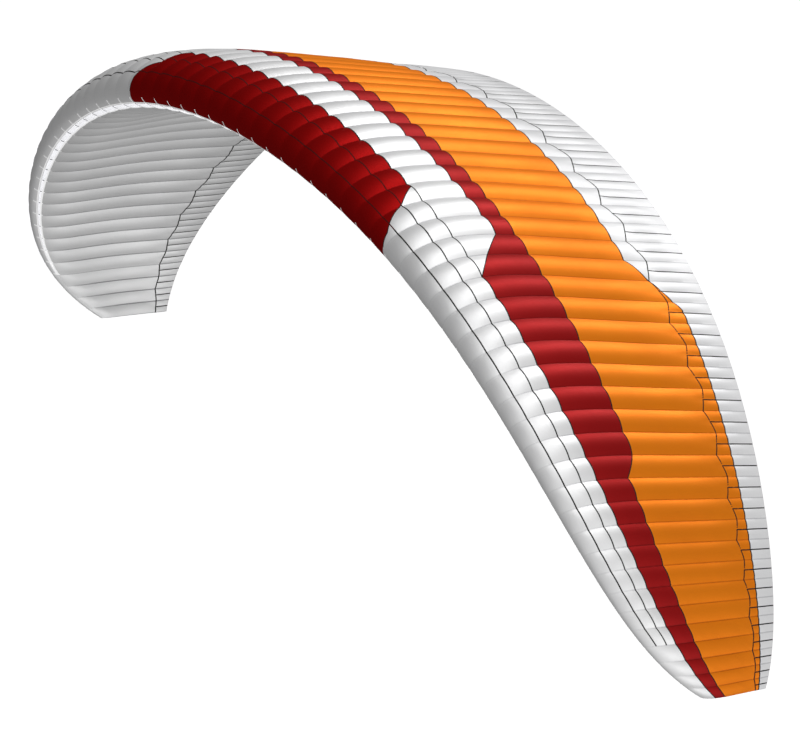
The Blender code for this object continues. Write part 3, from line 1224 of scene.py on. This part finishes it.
@dataclass
class LowerSkin:
    """Lower skin, its closed tip panels and its tail panel."""

    rows: int = 34
    lip_rows: int = 4
    tail_rows: int = 12
    tip_ends: float = 3.97

    def build(self) -> None:
        """Make the four panels."""
        whole = CANOPY.stations(0, CANOPY.cells)
        start, end = self.tip_ends, CANOPY.cells - self.tip_ends
        tip_rows = self.rows + self.lip_rows
        self.panel("lower_skin", start, end, CANOPY.lower_front, self.rows)
        self.panel("lower_tip_right", 0, start, self.tip_front, tip_rows)
        self.panel("lower_tip_left", end, CANOPY.cells, self.tip_front, tip_rows)
        borders = CANOPY.lower_seam, CANOPY.lower_tail
        Panel.between("trailing_lower", PALE, whole, *borders, self.tail_rows)

    def tip_front(self, r: Array) -> Array:
        """Front edge of the closed cells' panels, against the nose panels."""
        front = CANOPY.nose_front(r)
        return front - CANOPY.seam_gap / CANOPY.per_q(r, front)

    def panel(self, node: str, start: float, end: float, front: Row, count: int) -> None:
        """Make one panel that ends at the lower skin's rear seam.

        Args:
            node: CAD node that it stands for.
            start: Station where it starts, from which it is drawn in by the gap of a seam.
            end: Station where it ends, drawn in likewise.
            front: Front border.
            count: How many rows of vertices it has.
        """
        stations = CANOPY.stations(start, end)
        stations[0] += CANOPY.seam_gap / float(CANOPY.cell_width(stations[0]))
        stations[-1] -= CANOPY.seam_gap / float(CANOPY.cell_width(stations[-1]))
        Panel.between(node, PALE, stations, front, CANOPY.lower_seam, count)


@dataclass
class RibSet:
    """Ribs across the canopy: flat plates between the two skins.

    front, mouth and tail are values of q: where a rib starts, where its edge leaves the upper lip
    of the intake, and where it ends. The laid sizes are metres of flat cloth, and each fill is
    the share of it that ribs laid side by side cover.
    """

    inset: float = 0.0004
    thick: float = 0.002
    steps: int = 26
    rows: int = 4
    front: float = 0.03
    mouth: float = 0.125
    tail: float = 0.985
    aside: float = 0.01
    square_at: float = 0.4
    seam_distance: float = 0.05
    bend: float = 30.0
    laid_length: float = 2.54
    laid_chord: float = 2.52
    laid_fill: float = 0.66
    tip_height: float = 0.5
    tip_fill: float = 0.62

    def edges(self, r: float) -> tuple[Array, Array]:
        """Edge points of one rib.

        Args:
            r: Its station.

        Returns:
            Upper edge and lower edge, each steps by 3.
        """
        q = np.linspace(self.front, self.tail, self.steps)
        out = CANOPY.lift - CANOPY.ply / 2 - self.inset
        upper = CANOPY.skin(r, q, out)
        lower = CANOPY.skin(r, -q, out)
        if CANOPY.from_tip(r) >= CANOPY.closed_cells:
            lip = float(-CANOPY.lower_front(np.array(r)))
            top = CANOPY.skin(r, -self.mouth, out)
            bottom = CANOPY.skin(r, -lip, out)
            share = np.clip((q - self.mouth) / (lip - self.mouth), 0, 1)[:, None]
            inside = ((q > self.mouth) & (q < lip))[:, None]
            lower = np.where(inside, top * (1 - share) + bottom * share, lower)
        return upper, lower

    def plate(self, r: float) -> tuple[Shell, float]:
        """One rib, square to the arch.

        Args:
            r: Its station.

        Returns:
            Its shell, and the area of one side of it.
        """
        upper, lower = self.edges(r)
        share = np.linspace(0, 1, self.rows)[:, None, None]
        face = (lower * (1 - share) + upper * share).reshape(-1, 3)
        across = CANOPY.skin(r + self.aside, self.square_at)
        across = across - CANOPY.skin(r - self.aside, self.square_at)
        tilt = math.atan2(across[2], across[0])
        side = np.array([math.cos(tilt), 0.0, math.sin(tilt)]) * self.thick / 2
        quads = grid_quads(self.rows, self.steps)
        corners, sizes = quads.reshape(-1), quad_sizes(quads)
        clear = np.full(len(face), self.seam_distance)
        places = np.tile(np.stack([face[:, 1], face[:, 2], clear], axis=-1), (2, 1))
        points = np.concatenate([face - side, face + side])
        shell = Shell(points, places, *closed_faces(corners, sizes, len(face)))
        return shell, surface_area(face, corners, sizes)

    def build_ribs(self, name: str, stations: Sequence[int], *nodes: str) -> bpy.types.Object:
        """One object with the ribs at the stations.

        Args:
            name: Name of the piece.
            stations: Whole values of r.
            nodes: CAD nodes that it stands for.

        Returns:
            The object.
        """
        plates = [self.plate(float(r)) for r in stations]
        mesh = Shell.joined([shell for shell, _ in plates]).mesh(name, self.bend, RIB)
        piece = new_piece(name, mesh, Slot.RIB, *nodes)
        return piece

    def build(self) -> None:
        """Make the ribs of the open cells as one piece and each tip rib as its own."""
        inner = range(CANOPY.closed_cells, CANOPY.cells - CANOPY.closed_cells + 1)
        self.build_ribs("cloth_ribs", inner, "ribs")
        for k in range(CANOPY.closed_cells):
            self.build_ribs(f"cloth_rib_right_{k}", [k], f"rib_right_{k}")
            self.build_ribs(f"cloth_rib_left_{k}", [CANOPY.cells - k], f"rib_left_{k}")


@dataclass
class Trim:
    """Seam tapes, tail rib lines, lip tapes and reinforcement tabs on the outside of the cloth.

    Widths and heights are in metres, and places and lengths along the chord in q. A lip's pair is
    its tape's width and how far it lies from the lip.
    """

    heavy: float = 0.0105
    fine: float = 0.0098
    mini: float = 0.0088
    lower: float = 0.010
    slant_end: float = 0.396
    slant_steps: int = 40
    lower_mini: float = 0.008
    mini_end: float = 0.998
    mini_steps: int = 12
    rear_lip: Border = (0.012, -0.004)
    front_lip: Border = (0.008, 0.012)
    tab_width: float = 0.0075
    tab_height: float = 0.0012
    front_tab: float = 0.078
    rear_tab: float = 0.025
    binding_width: float = 0.010
    binding_base: float = -0.003
    binding_lap: float = 0.008

    def build(self) -> None:
        """Lay every tape."""
        for name, finish, width, ends, row in self.spans():
            self.tape(name, finish, width, ends, row)
        self.slants()
        self.tail_ribs("tail_ribs_upper", self.mini, CANOPY.tail_seam, self.mini_end)
        self.tail_ribs("tail_ribs_lower", self.lower_mini, CANOPY.lower_seam, -self.mini_end)
        ends = CANOPY.closed_cells, CANOPY.cells - CANOPY.closed_cells
        for name, (width, shift), lip in (
            ("lip_tape_rear", self.rear_lip, CANOPY.lower_front),
            ("lip_tape_front", self.front_lip, CANOPY.nose_front),
        ):
            self.tape(name, LIP_TAPE, width, ends, lambda r: lip(r) + shift)
        self.tabs()

    def spans(self) -> tuple[tuple[str, TapeFinish, float, Border, Row], ...]:
        """Seam tapes across the cells.

        Returns:
            Each one's name, finish, width, first and last station, and row.
        """
        seam_1, seam_2 = (partial(CANOPY.seam, seam) for seam in (CANOPY.seam_1, CANOPY.seam_2))
        opens = CANOPY.white_band_opens[0]
        whole, middle = (0, CANOPY.cells), (opens, CANOPY.cells - opens)
        return (
            ("tape_nose_heavy_right", THREAD, self.heavy, (4, 24.2), seam_1),
            ("tape_nose_heavy_left", THREAD, self.heavy, (41.8, 62), seam_1),
            ("tape_nose_heavy_red", DARK_THREAD, self.mini, (24.2, 41.8), seam_1),
            ("tape_nose_fine_right", THREAD, self.fine, (4, 25.0), seam_2),
            ("tape_nose_fine_left", THREAD, self.fine, (41.0, 62), seam_2),
            ("tape_nose_fine_red", DARK_THREAD, self.mini, (25.0, 41.0), seam_2),
            ("tape_nose_rear", THREAD, self.fine, whole, CANOPY.nose_rear),
            ("tape_red_front", THREAD, self.fine, middle, CANOPY.red_front),
            ("tape_red_rear", THREAD, self.fine, whole, CANOPY.red_rear),
            ("tape_orange_rear", THREAD, self.fine, whole, CANOPY.orange_rear),
            ("tape_tail_upper", THREAD, self.fine, whole, CANOPY.tail_seam),
            ("tape_tail_lower", THREAD, self.lower, whole, CANOPY.lower_seam),
        )

    def tape(self, name: str, finish: TapeFinish, width: float, ends: Border, row: Row) -> None:
        """Lay a tape across the cells, along a row from one station to another."""
        strip = Strip(name, finish, width)
        strip.build([strip.along_span(CANOPY.stations(*ends), row)])

    def slants(self) -> None:
        """Lay the tapes on the slanted borders of the red nose."""
        border = np.array(UpperSkin().nose_border)[1:]
        q = np.linspace(0, self.slant_end, self.slant_steps)
        r = np.interp(q, border[:, 1], border[:, 0])
        strip = Strip("tape_nose_slant", THREAD, self.fine)
        strip.build([strip.along_chord(r, q), strip.along_chord(CANOPY.cells - r, q)])

    def tail_ribs(self, name: str, width: float, row: Row, end: float) -> None:
        """Lay the line of the short tail rib in the middle of every cell.

        Args:
            name: Name of the piece.
            width: Width of a line.
            row: Where they start.
            end: Where they end.
        """
        strip = Strip(name, THREAD, width)
        stations = np.arange(CANOPY.cells) + 0.5
        lines = np.linspace(row(stations), end, self.mini_steps, axis=-1)
        strip.build([strip.along_chord(r, q) for r, q in zip(stations, lines)])

    def tabs(self) -> None:
        """Lay the tabs at each rib of the open cells, and the binding along its open edge."""
        tabs = Strip("rib_tabs", LIP_TAPE, self.tab_width, height=self.tab_height)
        binding = Strip("rib_binding", FINE_THREAD, self.binding_width, base=self.binding_base)
        ribs = np.arange(CANOPY.closed_cells, CANOPY.cells - CANOPY.closed_cells + 1.0)
        lines, edges = [], []
        for r, front, rear in zip(ribs, CANOPY.nose_front(ribs), CANOPY.lower_front(ribs)):
            lines.append(tabs.along_chord(r, np.linspace(front, front + self.front_tab, 6)))
            lines.append(tabs.along_chord(r, np.linspace(rear - self.rear_tab, rear, 4)))
            start, end = front - self.binding_lap, rear + self.binding_lap
            edges.append(binding.along_chord(r, np.linspace(start, end, 5)))
        tabs.build(lines)
        binding.build(edges, flip=True)


# Studio


def stand(item: bpy.types.Object, axes: Sequence[Vector], place: Triple) -> None:
    """Turn an object so that its own axes have the directions given, and link it at a place."""
    item.matrix_world = Matrix.Translation(Vector(place)) @ Matrix(axes).transposed().to_4x4()
    bpy.context.scene.collection.objects.link(item)


@dataclass(frozen=True)
class Lamp:
    """Rectangular lamp a long way off, with no picture of its own in the camera.

    facing points from the wing to the lamp's plane, along is its longer side, and radiance is
    what a unit of its area gives off.
    """

    name: str
    place: Triple
    facing: Triple
    along: Triple
    size: tuple[float, float]
    radiance: float

    def build(self) -> None:
        """Hang the lamp."""
        light = bpy.data.lights.new(self.name, "AREA")
        light.shape = "RECTANGLE"
        light.size, light.size_y = self.size
        light.energy = self.radiance * math.pi * light.size * light.size_y
        away = Vector(self.facing).normalized()
        across = away.cross(Vector(self.along)).normalized()
        lamp = bpy.data.objects.new(self.name, light)
        lamp.visible_camera = False
        stand(lamp, (across.cross(away), across, away), self.place)


@dataclass(frozen=True)
class Studio:
    """Camera, floor, lamps and soft sky.

    The sky changes from its far tone to its near one with the cosine to sky_towards, over the
    range sky_spread.
    """

    place: Triple = (162.522, -89.790, 57.559)
    azimuth: float = 60.906
    elevation: float = 17.742
    roll: float = 3.251
    lens: float = 1153.5
    floor_depth: float = -8.0
    floor_radius: float = 60.0
    floor_points: int = 96
    floor_tones: tuple[float, float] = (0.92, 0.95)
    floor_glow: float = 0.35
    lamps: tuple[Lamp, ...] = (
        Lamp("strip", (6, 20, 125), (-0.33, 0.59, 0.74), (-0.52, 0.52, -0.68), (235, 16), 10.0),
        Lamp("overhead", (36, -42, 84), (0.36, -0.42, 0.84), (1, 0, -0.43), (110, 60), 1.75),
        Lamp("side", (95, 22, 5), (0.95, 0.22, 0.05), (0, 0, 1), (80, 80), 0.3),
        Lamp("bounce", (78, 24, -58), (0.78, 0.24, -0.58), (0, 1, 0), (80, 80), 1.0),
    )
    sky_towards: Triple = (0.85, -0.30, -0.43)
    sky_spread: tuple[float, float] = (-0.3, 1.0)
    sky_tones: tuple[float, float] = (0.02, 0.70)

    def camera(self) -> None:
        """Place the camera far off, with a very long lens."""
        a, e, roll = (math.radians(value) for value in (self.azimuth, self.elevation, self.roll))
        back = Vector((math.sin(a) * math.cos(e), -math.cos(a) * math.cos(e), math.sin(e)))
        level = Vector((0, 0, 1)).cross(back).normalized()
        up = back.cross(level)
        right = level * math.cos(roll) + up * math.sin(roll)
        above = up * math.cos(roll) - level * math.sin(roll)
        data = bpy.data.cameras.new("camera")
        data.lens = self.lens
        data.sensor_width = 36.0
        data.sensor_fit = "HORIZONTAL"
        data.clip_start = 5.0
        data.clip_end = 3000.0
        camera = bpy.data.objects.new("camera", data)
        stand(camera, (right, above, back), self.place)
        bpy.context.scene.camera = camera

    def floor(self) -> None:
        """Lay a round pale floor well under the wing."""
        angle = np.linspace(0, 2 * math.pi, self.floor_points, endpoint=False)
        level = np.full(self.floor_points, self.floor_depth)
        x, y = np.cos(angle) * self.floor_radius, np.sin(angle) * self.floor_radius
        mesh = bpy.data.meshes.new("floor")
        corners, sizes = np.arange(self.floor_points), np.array([self.floor_points])
        fill_mesh(mesh, np.stack([x, y, level], axis=-1), corners, sizes)
        sheet = MaterialSheet("pale_floor")
        noise = sheet.noise(sheet.add("TexCoord").outputs["Object"], 0.4, 2.0)
        colour = sheet.mix(noise, *map(grey, self.floor_tones))
        mesh.materials.append(sheet.finished(colour, self.floor_glow, {"Roughness": 0.9}))
        floor = bpy.data.objects.new("floor", mesh)
        floor.visible_diffuse = False
        floor.visible_glossy = False
        floor.visible_shadow = False
        bpy.context.scene.collection.objects.link(floor)

    def sky(self) -> None:
        """Surround the wing with a soft sky that is brighter in front, on one side and below."""
        world = bpy.data.worlds.new("studio")
        world.use_nodes = True
        bpy.context.scene.world = world
        sheet = NodeSheet(world.node_tree)
        output = next(node for node in world.node_tree.nodes if node.type == "OUTPUT_WORLD")
        vectors = {0: sheet.add("TexCoord").outputs["Generated"], 1: self.sky_towards}
        side = sheet.add("VectorMath", vectors, operation="DOT_PRODUCT").outputs["Value"]
        low, high = self.sky_spread
        share = sheet.add("MapRange", {0: side, 1: low, 2: high, 3: 0.0, 4: 1.0}).outputs[0]
        tone = sheet.mix(share, *map(grey, self.sky_tones))
        lit = sheet.add("Background", {"Color": tone, "Strength": 1.0}).outputs[0]
        white = {"Color": opaque(grey(1.0)), "Strength": 1.0}
        seen = sheet.add("Background", white).outputs[0]
        camera_ray = sheet.add("LightPath").outputs["Is Camera Ray"]
        both = sheet.add("MixShader", {0: camera_ray, 1: lit, 2: seen}).outputs[0]
        sheet.feed(output, {"Surface": both})

    def build(self) -> None:
        """Set the stage up."""
        scene = bpy.context.scene
        scene.view_settings.view_transform = "Standard"
        scene.view_settings.look = "None"
        self.camera()
        self.floor()
        for lamp in self.lamps:
            lamp.build()
        self.sky()
        LOG.info("studio: camera at %.1f m", Vector(self.place).length)


def main() -> None:
    """Build the wing's pieces in the order that a sail loft sews them, then the studio."""
    logging.basicConfig(level=logging.INFO, format="%(name)s %(message)s")
    RibSet().build()
    LowerSkin().build()
    UpperSkin().build()
    Trim().build()
    Studio().build()


if __name__ == "__main__":
    main()
